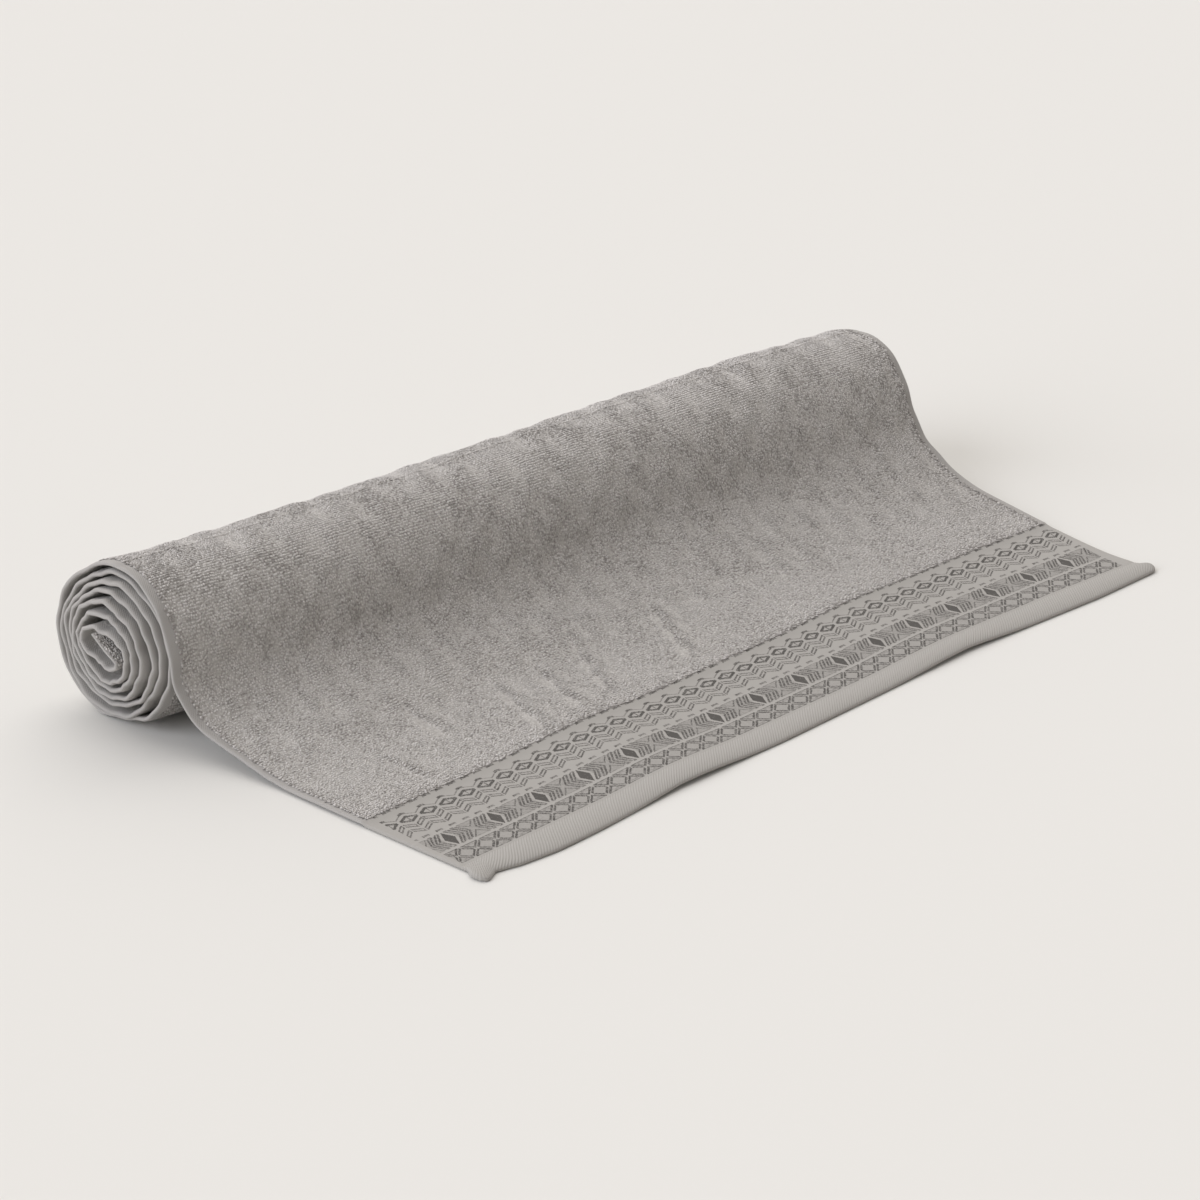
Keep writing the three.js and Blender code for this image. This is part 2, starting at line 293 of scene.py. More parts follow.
# %% From cloth to space
def sideways(place, share):
    spread = np.where(place < CREST_ROW, loose_value(6, np.minimum(place, CREST_ROW), 1), 1.0)
    turned = curve_through(TURN_SHIFT, np.maximum(place - CREST_ROW, 0))
    shift = np.where(place < CREST_ROW, TURN_SHIFT[0] * on_roll(place), turned)
    flat_x = LEFT_EDGE + share * mix(BORDER_WIDTH, PILE_WIDTH, spread)
    slip = smooth((SLIP_LAST_ROW - place) / 2) * along_table(BORDER_SLIP, 1, flat_x)
    from_left = flat_x - LEFT_EDGE
    slip = slip + along_table(LEFT_SIDE, 1, place) * smooth(1 - from_left / DRAWN_IN_REACH)
    across_hem = np.clip(place, 0, HEM_END_ROWS) / HEM_END_ROWS * 2 - 1
    lobe = np.sqrt(1 - across_hem ** 2)
    right_end = HEM_END_OUT_RIGHT * smooth(1 - (1 - share) / HEM_END_REACH)
    left_end = HEM_END_OUT_LEFT * smooth(1 - share / HEM_END_REACH)
    return flat_x + shift + slip + lobe * (right_end - left_end)


def ripple_height(x, row):
    across = np.zeros_like(x)
    for middle, height, half_width in RIPPLES:
        reach = np.minimum(1, np.abs(x - middle) / half_width)
        across = np.maximum(across, height * (1 + np.cos(np.pi * reach)) / 2)
    return across * smooth((RIPPLE_LAST_ROW - row) / (RIPPLE_LAST_ROW - RIPPLE_FIRST_ROW))


def hem_dents(x):
    dents = np.zeros_like(x)
    for middle, depth, half_width in HEM_DENTS:
        reach = np.minimum(1, np.abs(x - middle) / half_width)
        dents = dents + depth * (1 + np.cos(np.pi * reach)) / 2
    return dents


def crease_height(x, y):
    height = np.zeros_like(x)
    for near_x, near_y, far_x, far_y, full in CREASES:
        share = (y - far_y) / (near_y - far_y)
        aside = x - mix(far_x, near_x, share)
        half_width = np.where(aside < 0, CREASE_STEEP_SIDE, CREASE_SOFT_SIDE)
        ridge = (1 + np.cos(np.pi * np.minimum(1, np.abs(aside) / half_width))) / 2
        ends = smooth(share / 0.25) * smooth((1 - share) / 0.3)
        height = np.maximum(height, full * ridge * ends)
    return height


def kink(x, turn):
    """How far the small bends of a rim leave the smooth spiral."""
    to_end = np.minimum(x - LEFT_EDGE, RIGHT_EDGE - x)
    fade = np.exp(-np.maximum(0, to_end) / KINK_REACH)
    wave = sum(height * np.arcsin(np.sin(2 * np.pi * count * turn + start)) / (np.pi / 2)
               for count, height, start in KINKS)
    return fade * wave * smooth(turn / KINKS_GROW)


def spring(x, turn):
    """How far each turn stands out at the left end of the roll."""
    outwards = np.array([value for row in SPRING for value in row] + [0.0])
    fade = np.exp(-np.maximum(0, x - LEFT_EDGE) / SPRING_REACH)
    return fade * curve_through(outwards, turn * DIRECTIONS)


def lumps(x, y, z):
    waves = sum(height * np.sin(2 * np.pi * (x / long_x + y / long_y + z / long_z) + start)
                for long_x, long_y, long_z, height, start in LUMPS)
    return waves - LUMPS_LOWER


def on_roll(row):
    """Grows from 0 where the loose end meets the roll to 1 at the roll's top."""
    return smooth((row - MEETING_ROW) / (CREST_ROW - MEETING_ROW))


def top_of_roll(x):
    return axis_z(x) * (1 + RADII[0] / ROLL_CENTRE_HEIGHT) - PILE_THICKNESS / 2


def loose_underside(x, row, share):
    left_y = loose_value(0, row, axis_y(LEFT_EDGE))
    right_y = loose_value(2, row, axis_y(RIGHT_EDGE))
    straight = mix(axis_y(LEFT_EDGE), axis_y(RIGHT_EDGE), share)
    with_roll = loose_value(4, row, 1) * (axis_y(x) - straight)
    with_border = loose_value(5, row, 0) * along_table(BORDER_BEND, 1, x)
    with_hem = smooth(SEAM_ROW - row) * (along_table(HEM_LINE, 1, x) + hem_dents(x))
    y = mix(left_y, right_y, share) + with_roll + with_border + with_hem
    lying = smooth((row - BORDER_END_ROW) / WAVE_FADE) * smooth((MEETING_ROW - row) / WAVE_FADE)
    phase = 2 * np.pi * (x / WAVE_PERIOD_X + y / WAVE_PERIOD_Y)
    wave = WAVE_HEIGHT * lying * (1 + np.sin(phase)) + crease_height(x, y)
    left_z = loose_value(1, row, top_of_roll(LEFT_EDGE))
    right_z = loose_value(3, row, top_of_roll(RIGHT_EDGE))
    straight_top = mix(top_of_roll(LEFT_EDGE), top_of_roll(RIGHT_EDGE), share)
    on_top = on_roll(row) * (top_of_roll(x) - straight_top)
    z = mix(left_z, right_z, share) + wave + ripple_height(x, row) + on_top
    z = z + along_table(LEFT_SIDE, 2, row) * smooth(1 - (x - LEFT_EDGE) / RISE_REACH)
    return y, np.maximum(0, z)


def wound_middle(x, turn):
    radius = axis_z(x) / ROLL_CENTRE_HEIGHT * curve_through(RADII, turn * DIRECTIONS)
    radius = radius + kink(x, turn) + spring(x, turn)
    angle = turn * 2 * np.pi
    along_fold = np.clip((turn - FOLD_FROM) / (TURNS - FOLD_FROM), 0, 1) * (len(CORE_FOLD) - 1)
    folded = smooth((turn - FOLD_FROM) / FOLD_BLEND + 0.5)
    y = mix(radius * np.sin(angle), curve_through(CORE_FOLD[:, 0], along_fold), folded)
    z = mix(radius * np.cos(angle), curve_through(CORE_FOLD[:, 1], along_fold), folded)
    return axis_y(x) + y, np.maximum(axis_z(x) + z, PILE_THICKNESS / 2)


def cloth_thickness(place):
    """The thickness of the whole cloth at this place, loops and all, without the side hems."""
    in_pile = smooth((place - BORDER_END_ROW) / PILE_STEP)
    in_hem = smooth((SEAM_ROW + PAST_SEAM - place) / SEAM_STEP)
    hem = HEM_EDGE_THICKNESS + HEM_PUFF * np.sin(np.pi * np.clip(place, 0, SEAM_ROW))
    return mix(mix(BORDER_THICKNESS, PILE_THICKNESS, in_pile), hem, in_hem)


def facing(y, z):
    """Which way the upper face looks, from the slope along each line of the cloth."""
    along_y = np.gradient(y, axis=0)
    along_z = np.gradient(z, axis=0)
    length = np.hypot(along_y, along_z)
    return -along_z / length, along_y / length


def cloth_middle(place, share):
    """The middle of the cloth and its upward direction. Both arrays run along, then across."""
    x = sideways(place, share)
    loose_y, loose_z = loose_underside(x, np.minimum(place, CREST_ROW), share)
    wound_y, wound_z = wound_middle(x, np.maximum(place - CREST_ROW, 0))
    on_loose = place < CREST_ROW
    y = np.where(on_loose, loose_y, wound_y)
    z = np.where(on_loose, loose_z, wound_z)
    normal_y, normal_z = facing(y, z)
    lift = np.where(on_loose, cloth_thickness(place) / 2, 0)
    lift = lift * (1 - HEM_EDGE_DROP * smooth(1 - place / HEM_EDGE_ROWS))
    in_pile = smooth((place - BORDER_END_ROW) / LUMPS_GROW_ROWS)
    lift = lift + lumps(x, y, z) * in_pile * smooth(z / LUMPS_GROW_HEIGHT)
    y = y + normal_y * lift
    z = z + normal_z * lift
    return x, y, z, normal_y, normal_z


# %% [markdown]
# The cloth is measured along its middle line, so that loops, weave and border keep their size where
# the table's rows stand far apart or close. The measured length is the towel's real length.

# %% Length along the cloth
MEASURE_STEPS = 9000
measured_place = np.linspace(0, CREST_ROW + TURNS, MEASURE_STEPS)[:, None]
middle_share = np.full_like(measured_place, 0.5)
_, middle_y, middle_z, _, _ = cloth_middle(measured_place, middle_share)
steps = np.hypot(np.diff(middle_y[:, 0]), np.diff(middle_z[:, 0]))
measured_length = np.append(0, np.cumsum(steps))
measured_place = measured_place[:, 0]
cloth_length = measured_length[-1]


def length_at(place):
    return float(np.interp(place, measured_place, measured_length))


seam_at = length_at(SEAM_ROW)
border_end_at = length_at(BORDER_END_ROW)
crest_at = length_at(CREST_ROW)
turn_end_at = length_at(CREST_ROW + 1)
print(f"cloth {cloth_length:.0f} mm long: seam {seam_at:.1f}, border ends {border_end_at:.1f}, "
      f"crest {crest_at:.0f}, first turn ends {turn_end_at:.0f}")

# %% [markdown]
# The mesh is one flat grid, fine at the hems and the seam and coarser in the pile, whose points are
# then moved onto the form. Every point keeps its flat place as UV in metres, so weaves and loops
# can be scaled from real sizes.

# %% Where the grid's lines run
SIDE_HEM = 7.6
PILE_EDGE = 2.0
# The woven border reaches a little past the table's row, under the first loops.
WEAVE_UNDER_LOOPS = 3.2
WEAVE_END = border_end_at + WEAVE_UNDER_LOOPS


def stretches(*parts):
    """Places along a line: each part is (end, widest step), from the end of the part before."""
    places = [0.0]
    for end, widest in parts:
        start = places[-1]
        count = max(1, math.ceil((end - start) / widest - 1e-6))
        places += [start + (end - start) * i / count for i in range(1, count + 1)]
    return np.array(places)


half_across = stretches((0.5, 0.5), (1.4, 0.9), (SIDE_HEM - 1, 2.3), (SIDE_HEM + PILE_EDGE, 1.0),
                        (BORDER_WIDTH / 2, 9.7))
across = np.append(half_across, BORDER_WIDTH - half_across[-2::-1])
along = stretches((0.6, 0.6), (1.8, 1.2), (4, 2.2), (seam_at - 2, 2.5), (seam_at + 2, 0.7),
                  (WEAVE_END - 1, 5), (WEAVE_END + 2, 1.0), (crest_at, 4.4),
                  (turn_end_at, 4.2), (cloth_length - 2, 4.2), (cloth_length, 1.0))
print(f"grid: {len(across)} x {len(along)} points")

# %% [markdown]
# Thickness. Loops, hems and border differ, so the sheet's thickness is painted into a vertex group
# which a Solidify modifier reads. Loops stand on the pile as pieces of their own, so the sheet is
# only the ground weave and the roots of the loops there. At the edges it gets thinner towards the
# fold, which rounds them as a folded hem is round.

# %% Thickness of the sheet
THICKEST = 5.2
GROUND_THICKNESS = 3.2
# The side hems are thinner on the loose end than on the roll, where they have not been pressed.
SIDE_HEM_THICKNESS, ROLLED_HEM_THICKNESS = 2.6, 3.3
# The last stretch at the inner end is plain hem: its length, its thickness and how round its fold is.
INNER_END, INNER_END_THICKNESS, INNER_END_FOLD = 30.0, 2.4, 4.0
# What share of its thickness is left right at a fold.
EDGE_THICKNESS = 0.35
# Over how many millimetres the thickness changes: into the side hem, past the seam, onto the roll and
# into the inner end. The side hem's thickness reaches a little under the first loops.
SIDE_STEP, SEAM_FADE, ROLL_FADE, INNER_STEP = 1.5, 3.0, 80.0, 8.0
SIDE_UNDER_LOOPS = 1.0


def rounded(distance, thickness):
    """The share of its thickness that a folded edge has at this distance from the fold."""
    reach = np.clip(distance / (thickness / 2), 0, 1)
    return np.maximum(EDGE_THICKNESS, np.sqrt(np.maximum(0, 1 - (1 - reach) ** 2)))


def sheet_thickness(u, v):
    to_side = np.minimum(u, BORDER_WIDTH - u)
    whole = cloth_thickness(np.interp(v, measured_length, measured_place))
    thickness = np.where(v > WEAVE_END, GROUND_THICKNESS, whole)
    in_side_hem = smooth((SIDE_HEM + SIDE_UNDER_LOOPS - to_side) / SIDE_STEP)
    in_side_hem = in_side_hem * smooth((v - seam_at) / SEAM_FADE)
    side_hem = mix(SIDE_HEM_THICKNESS, ROLLED_HEM_THICKNESS, smooth((v - crest_at) / ROLL_FADE))
    thickness = mix(thickness, side_hem, in_side_hem)
    at_inner_end = smooth((v - cloth_length + INNER_END) / INNER_STEP)
    thickness = mix(thickness, INNER_END_THICKNESS, at_inner_end)
    thickness = thickness * rounded(to_side, thickness)
    return thickness * rounded(v, HEM_EDGE_THICKNESS) * rounded(cloth_length - v, INNER_END_FOLD)


# %% [markdown]
# Materials. The towel is ring-spun cotton, dyed one warm grey. Terry loops scatter light in all
# directions, so nothing on them gleams, and they show a soft sheen only along edges. Loops shade one
# another, so their own colour is lighter than the towel looks from a step away. The colours are
# written as sRGB hex values and one function turns them to linear.

# %% Colours and a helper for nodes
def linear(hex_colour):
    channels = [int(hex_colour[i:i + 2], 16) / 255 for i in (1, 3, 5)]
    return [c / 12.92 if c <= 0.04045 else ((c + 0.055) / 1.055) ** 2.4 for c in channels] + [1.0]


def add_node(tree, kind, inputs=None, **settings):
    """Adds a node, sets it, and gives its inputs a value or a link each."""
    node = tree.nodes.new(kind)
    for name, value in settings.items():
        setattr(node, name, value)
    for key, value in (inputs or {}).items():
        if isinstance(value, bpy.types.NodeSocket):
            tree.links.new(value, node.inputs[key])
        else:
            node.inputs[key].default_value = value
    return node


MATH = "ShaderNodeMath"


def computed(kind, operation, *values):
    """The result of a node that has an operation, on values or links, in the tree at hand."""
    return add_node(tree, kind, dict(enumerate(values)), operation=operation).outputs[0]


def new_material(name, roughness, sheen):
    material = bpy.data.materials.new(name)
    material.use_nodes = True
    tree = material.node_tree
    shader = tree.nodes["Principled BSDF"]
    shader.inputs["Roughness"].default_value = roughness
    shader.inputs["IOR"].default_value = 1.47
    shader.inputs["Specular IOR Level"].default_value = 0.2
    shader.inputs["Sheen Weight"].default_value = sheen
    shader.inputs["Sheen Roughness"].default_value = 0.6
    return material, tree, shader


# %% Terry ground between the loops, with painted shade in the gaps
terry_ground, tree, shader = new_material("cotton_terry_ground", 0.95, 0.15)
LOOP_ROOT = 2.0
uv = add_node(tree, "ShaderNodeUVMap", uv_map="cloth").outputs["UV"]
roots = add_node(tree, "ShaderNodeTexVoronoi", {"Vector": uv, "Scale": 1 / (LOOP_ROOT * MM)})
# The ground is painted darker towards the edge of each cell, between the roots of the loops: painted
# shade in the gaps.
tone = add_node(tree, "ShaderNodeValToRGB", {"Fac": roots.outputs["Distance"]})
tone.color_ramp.elements[0].color = linear("#C0BDB8")
tone.color_ramp.elements[1].color = linear("#96928D")
tree.links.new(tone.outputs["Color"], shader.inputs["Base Color"])
bump = add_node(tree, "ShaderNodeBump", {"Height": roots.outputs["Distance"], "Strength": 0.8,
                                         "Distance": 0.6 * MM}, invert=True)
tree.links.new(bump.outputs["Normal"], shader.inputs["Normal"])

# %% Side hems: plain weave
THREAD = 0.9
plain_weave, tree, shader = new_material("cotton_plain_weave_hem", 0.9, 0.1)
uv = add_node(tree, "ShaderNodeUVMap", uv_map="cloth").outputs["UV"]
parts = add_node(tree, "ShaderNodeSeparateXYZ", {"Vector": uv})
waves = []
for axis in ("X", "Y"):
    turned = computed(MATH, "MULTIPLY", parts.outputs[axis], math.pi / (THREAD * MM))
    waves.append(computed(MATH, "SINE", turned))
weave = computed(MATH, "MULTIPLY", *waves)
bump = add_node(tree, "ShaderNodeBump", {"Height": weave, "Strength": 0.5,
                                         "Distance": 0.3 * MM})
tree.links.new(bump.outputs["Normal"], shader.inputs["Normal"])
shader.inputs["Base Color"].default_value = linear("#A6A39F")

# %% End hem: ribs of the doubled weave
# The ribs lean across the hem. The real ones are 1.4 mm apart, and 2.4 mm is the finest that shows.
RIB, RIB_LEAN = 2.4, 1.03
ribbed_hem, tree, shader = new_material("cotton_ribbed_end_hem", 0.9, 0.1)
uv = add_node(tree, "ShaderNodeUVMap", uv_map="cloth").outputs["UV"]
parts = add_node(tree, "ShaderNodeSeparateXYZ", {"Vector": uv})
leaning = computed(MATH, "MULTIPLY_ADD", parts.outputs["Y"], -RIB_LEAN, parts.outputs["X"])
rib = computed(MATH, "SINE", computed(MATH, "MULTIPLY", leaning, 2 * math.pi / (RIB * MM)))
# The grooves between the ribs are painted a little darker than their crests: painted shade in the
# grooves.
share = computed(MATH, "MULTIPLY_ADD", rib, 0.5, 0.5)
tone = add_node(tree, "ShaderNodeMix", {"Factor": share, "A": linear("#9F9C97"),
                                        "B": linear("#A5A29D")}, data_type="RGBA")
tree.links.new(tone.outputs["Result"], shader.inputs["Base Color"])
bump = add_node(tree, "ShaderNodeBump", {"Height": rib, "Strength": 0.35,
                                         "Distance": 0.4 * MM})
tree.links.new(bump.outputs["Normal"], shader.inputs["Normal"])

# %% [markdown]
# The border is a jacquard: the loom lifts dark or light threads one by one, so its figures are made
# of short straight strokes that repeat. It is drawn here from a chart, as a weaver would. Each
# stroke is a line across one repeat, folded about the repeat's middle: t is the distance from that
# middle, g the distance from the row's middle line, and the stroke lies where g + lean * t is
# within half a stroke of its level. Every place is first rounded to whole threads, so slanting
# strokes get the steps of a weave, and each crossing of threads takes a little more or less dark.

# %% Chart of the border
WEAVE_THREAD = 0.5
SPECK = 1.0
# How far the figures lean to the right for each millimetre up.
SKEW = 0.1
# Repeats. Columns: width of one repeat, the middle of the first one.
EYES = (17.76, -322.0)
LINKS = (17.76, -322.9)
CROSSES = (17.76, -315.2)
SHORT_DASHES = (11.92, -329.2)
LONG_DASHES = (11.92, -329.0)
SOLID_DIAMONDS = (42.04, -319.7)
# Columns: repeat, middle y, folded up and down, lean, level, half stroke, from t, to t, reach, tone.
# A tone above 1 stays dark at every crossing of threads.
CHART = [
    (LONG_DASHES, 56, False, 0.1, 0, 1.2, 0, 3.6, 4, 0.75),
    (EYES, 48.4, False, 0.35, 0.3, 1.3, 0, 3.0, 4, 0.95),
    (EYES, 48.4, False, 0.62, 0.4, 0.6, 3, 9, 7, 0.6),
    (EYES, 39.9, True, 0.55, 3.9, 1.25, 0, 7.2, 5.2, 1.2),
    (EYES, 39.9, True, 0.55, 3.6, 1.7, 4.6, 7.6, 5.2, 1.2),
    (EYES, 39.9, True, 0, 0, 2.4, 0, 0.6, 3, 0.7),
    (LINKS, 28.9, False, -0.62, 1.7, 0.8, 0.5, 8.4, 9, 0.85),
    (LINKS, 28.9, False, -0.62, -1.6, 0.8, 0.5, 8.4, 9, 0.9),
    (LINKS, 28.9, False, -0.62, 0, 1.8, 0.5, 1.5, 9, 0.75),
    (LINKS, 28.9, False, -0.62, 0, 1.8, 7.6, 8.4, 9, 0.65),
    (LINKS, 20.9, False, -0.62, 1.5, 0.8, 0.5, 8.4, 9, 0.8),
    (LINKS, 20.9, False, -0.62, -1.6, 0.8, 0.5, 8.4, 9, 0.85),
    (LINKS, 20.9, False, -0.62, 0, 1.8, 0.5, 1.5, 9, 0.7),
    (LINKS, 20.9, False, -0.62, 0, 1.8, 7.6, 8.4, 9, 0.6),
    (SHORT_DASHES, 14.3, False, 0.1, 0, 1.1, 0, 3.0, 3, 0.75),
    (SOLID_DIAMONDS, 0.2, True, 2.2, 0, 10.0, 0, 4.6, 11, 1.7),
    (SOLID_DIAMONDS, 0.2, True, 1.64, 14.2, 1.5, 0, 21, 9.6, 1.0),
    (SOLID_DIAMONDS, 0.2, True, 1.64, 18.9, 1.5, 0, 21, 9.6, 1.0),
    (SOLID_DIAMONDS, 0.2, True, 1.64, 24.6, 1.5, 0, 21, 9.6, 0.95),
    (SOLID_DIAMONDS, 0.2, True, 1.64, 29.4, 1.5, 0, 21, 9.6, 0.95),
    (SOLID_DIAMONDS, 0.2, True, 1.1, 26.0, 0.8, 14, 21, 10.2, 0.8),
    (SOLID_DIAMONDS, 0.2, True, 0, 10.0, 0.55, 2.4, 5.4, 10.6, 0.7),
    (SOLID_DIAMONDS, 0.2, True, 0, 10.0, 0.55, 8.4, 11.6, 10.6, 0.7),
    (SOLID_DIAMONDS, 0.2, True, 0, 10.0, 0.4, 14.6, 21, 10.6, 0.45),
    (SOLID_DIAMONDS, 0.2, True, 0, 0, 9.4, 5.6, 21, 9.4, 0.25),
    (CROSSES, -21.4, True, 0, 0, 8.3, 0, 8.9, 8.3, 0.15),
    (CROSSES, -21.4, True, -0.95, 1.6, 1.15, 0, 7.2, 8.6, 1.0),
    (CROSSES, -21.4, True, -0.95, -1.7, 1.15, 2.2, 8.6, 8.6, 1.0),
    (CROSSES, -21.4, True, 0, 8.3, 0.5, 0, 7.6, 9, 0.65),
    (CROSSES, -21.4, True, 0.6, 7.4, 1.2, 0, 3, 8.6, 0.4),
]
# A stroke that runs down to the left crosses the threads at a shallow angle and shows less dark.
FAINT_SIDE = 0.8
SOLID = 5.0
# Thin light lines between the rows: their y.
LIGHT_LINES = [11.3, -12.4]
INK_REACH = 341.0

# %% Jacquard border from the chart
jacquard, tree, shader = new_material("cotton_jacquard_border", 0.9, 0.1)
uv = add_node(tree, "ShaderNodeUVMap", uv_map="cloth").outputs["UV"]
parts = add_node(tree, "ShaderNodeSeparateXYZ", {"Vector": uv})
chart_zero = length_at(DIAMOND_ROW)
flat_x = computed(MATH, "MULTIPLY_ADD", parts.outputs["X"], 1 / MM, -BORDER_WIDTH / 2)
flat_y = computed(MATH, "MULTIPLY_ADD", parts.outputs["Y"], 1 / MM, -chart_zero)
upright_x = computed(MATH, "MULTIPLY_ADD", flat_y, -SKEW, flat_x)
chart_x = computed(MATH, "SNAP", upright_x, WEAVE_THREAD)
chart_y = computed(MATH, "SNAP", flat_y, WEAVE_THREAD)
folded = {}
ink = 0.0
for (pitch, first), middle, mirrored, lean, level, half, start, end, reach, tone in CHART:
    if (pitch, first) not in folded:
        from_first = computed(MATH, "SUBTRACT", chart_x, first)
        back = computed(MATH, "PINGPONG", from_first, pitch / 2)
        on_right = computed(MATH, "LESS_THAN", computed(MATH, "WRAP", from_first, pitch, 0.0), pitch / 2)
        folded[pitch, first] = back, on_right
    t, on_right = folded[pitch, first]
    g = computed(MATH, "SUBTRACT", chart_y, middle)
    above = computed(MATH, "GREATER_THAN", g, 0.0) if mirrored else 1.0
    if mirrored:
        g = computed(MATH, "ABSOLUTE", g)
    stroke = computed(MATH, "COMPARE", computed(MATH, "MULTIPLY_ADD", t, lean, g), level, half)
    for value, low, high in ((t, start, end), (chart_y, middle - reach, middle + reach)):
        window = computed(MATH, "COMPARE", value, (low + high) / 2, (high - low) / 2)
        stroke = computed(MATH, "MULTIPLY", stroke, window)
    if lean and half < SOLID:
        alike = computed(MATH, "COMPARE", on_right, above, 0.5)
        slope = 1 - FAINT_SIDE if lean < 0 else FAINT_SIDE - 1
        strength = computed(MATH, "MULTIPLY_ADD", alike, slope, FAINT_SIDE if lean < 0 else 1.0)
        stroke = computed(MATH, "MULTIPLY", stroke, strength)
    ink = computed(MATH, "MAXIMUM", ink, computed(MATH, "MULTIPLY", stroke, tone))
cell = add_node(tree, "ShaderNodeCombineXYZ", {"X": computed(MATH, "SNAP", upright_x, SPECK),
                                               "Y": computed(MATH, "SNAP", flat_y, SPECK)})
speck = add_node(tree, "ShaderNodeTexWhiteNoise", {"Vector": cell.outputs["Vector"]},
                 noise_dimensions="2D").outputs["Value"]
ink = computed(MATH, "MULTIPLY", ink, computed(MATH, "MULTIPLY_ADD", speck, 0.8, 0.5))
ink = computed(MATH, "MULTIPLY", ink, computed(MATH, "COMPARE", chart_x, 0.0, INK_REACH))
ink = computed(MATH, "MINIMUM", ink, 1.0)
light = 0.0
for line_y in LIGHT_LINES:
    light = computed(MATH, "MAXIMUM", light, computed(MATH, "COMPARE", chart_y, line_y, 0.6))
ground = add_node(tree, "ShaderNodeMix", {"Factor": computed(MATH, "MULTIPLY", light, 0.12),
                                          "A": linear("#A29F9A"), "B": linear("#BEBBB6")},
                  data_type="RGBA")
colour = add_node(tree, "ShaderNodeMix", {"Factor": ink, "A": ground.outputs["Result"],
                                          "B": linear("#4B4844")}, data_type="RGBA")
tree.links.new(colour.outputs["Result"], shader.inputs["Base Color"])
bump = add_node(tree, "ShaderNodeBump", {"Height": ink, "Strength": 0.6, "Distance": 0.3 * MM},
                invert=True)
tree.links.new(bump.outputs["Normal"], shader.inputs["Normal"])
print("border:", len(CHART), "strokes,", len(tree.nodes), "nodes")

# %% The sheet
ZONES = [terry_ground, plain_weave, ribbed_hem, jacquard]
PILE_ZONE, SIDE_ZONE, END_ZONE, BORDER_ZONE = range(len(ZONES))


def zone_of(u, v):
    if v < seam_at:
        return END_ZONE
    if v < WEAVE_END:
        return BORDER_ZONE
    on_side = min(u, BORDER_WIDTH - u) < SIDE_HEM
    return SIDE_ZONE if on_side else PILE_ZONE


def place_grid(across, along):
    """Points of the cloth's middle at these flat places. Rows run along, columns across."""
    place = np.interp(along, measured_length, measured_place)
    places, shares = np.meshgrid(place, across / BORDER_WIDTH, indexing="ij")
    return cloth_middle(places, shares)


x, y, z, _, _ = place_grid(across, along)
points = to_frame(np.stack([x, y, z], axis=-1))
flat_v, flat_u = np.meshgrid(along, across, indexing="ij")
thickness = sheet_thickness(flat_u, flat_v)

bm = bmesh.new()
bmesh.ops.create_grid(bm, x_segments=len(across) - 1, y_segments=len(along) - 1, size=1)
uv_layer = bm.loops.layers.uv.new("cloth")
weights = bm.verts.layers.deform.verify()
for vertex in bm.verts:
    j = round((vertex.co.x + 1) / 2 * (len(across) - 1))
    k = round((vertex.co.y + 1) / 2 * (len(along) - 1))
    vertex.index = k * len(across) + j
    vertex.co = points[k, j]
    vertex[weights][0] = thickness[k, j] / THICKEST
for face in bm.faces:
    face.smooth = True
    middle_u = middle_v = 0
    for loop in face.loops:
        k, j = divmod(loop.vert.index, len(across))
        loop[uv_layer].uv = (across[j] * MM, along[k] * MM)
        middle_u += across[j] / 4
        middle_v += along[k] / 4
    face.material_index = zone_of(middle_u, middle_v)
mesh = bpy.data.meshes.new("terry_sheet")
bm.to_mesh(mesh)
bm.free()
for material in ZONES:
    mesh.materials.append(material)
sheet = bpy.data.objects.new("terry_sheet", mesh)
bpy.context.scene.collection.objects.link(sheet)
sheet.vertex_groups.new(name="thickness")
solidify = sheet.modifiers.new("thickness", "SOLIDIFY")
solidify.thickness = THICKEST * MM
solidify.offset = 0
solidify.vertex_group = "thickness"
solidify.thickness_vertex_group = 0.0
print("sheet:", len(mesh.vertices), "points")

# %% [markdown]
# The loops. Each is a short soft bead of yarn, in staggered rows as the loom makes them. There are
# far too many to place by hand, so a grid of feet is laid on the outer face and Geometry Nodes sets
# a small eight-sided bead on each, turned at random from a fixed seed. On the wound part the rows
# stay in line and show, and on the loose part they have been brushed about by use. The outermost
# loops, at the edges of the pile, are free on one side and stand out as a coarser frill, and they
# get darker shades: painted shade where the pile steps down to the hems and the border. Five shades
# of the same dye are mixed, as light falls deeper between some loops than others.

# %% Loop shades
# Columns: colour, and up to which shade of the foot it is used.
LOOP_SHADES = [("#CDC9C5", 0.25), ("#C7C3BF", 0.5), ("#C0BCB8", 0.72), ("#B4B0AB", 0.88),
               ("#95908B", 9)]
loop_materials = []
for number, (shade, _) in enumerate(LOOP_SHADES):
    material, tree, shader = new_material(f"cotton_loops_{number + 1}", 0.95, 0.35)
    shader.inputs["Base Color"].default_value = linear(shade)
    loop_materials.append(material)

# %% A bead of yarn on each foot
LOOP_SIZE = (0.88, 1.05, 0.34)

loops_tree = bpy.data.node_groups.new("terry_loops", "GeometryNodeTree")
loops_tree.interface.new_socket("Geometry", in_out="INPUT", socket_type="NodeSocketGeometry")
loops_tree.interface.new_socket("Geometry", in_out="OUTPUT", socket_type="NodeSocketGeometry")
tree = loops_tree
feet = add_node(tree, "NodeGroupInput").outputs["Geometry"]
bead = add_node(tree, "GeometryNodeMeshUVSphere", {"Segments": 4, "Rings": 2, "Radius": 1.0})
bead = add_node(tree, "GeometryNodeTransform", {"Geometry": bead.outputs["Mesh"],
                                                "Scale": [size * MM for size in LOOP_SIZE]})
bead = add_node(tree, "GeometryNodeSetShadeSmooth", {"Geometry": bead.outputs["Geometry"],
                                                     "Shade Smooth": True})
normal = add_node(tree, "GeometryNodeInputNormal").outputs["Normal"]
upright = add_node(tree, "FunctionNodeAlignRotationToVector", {"Vector": normal}, axis="Z")
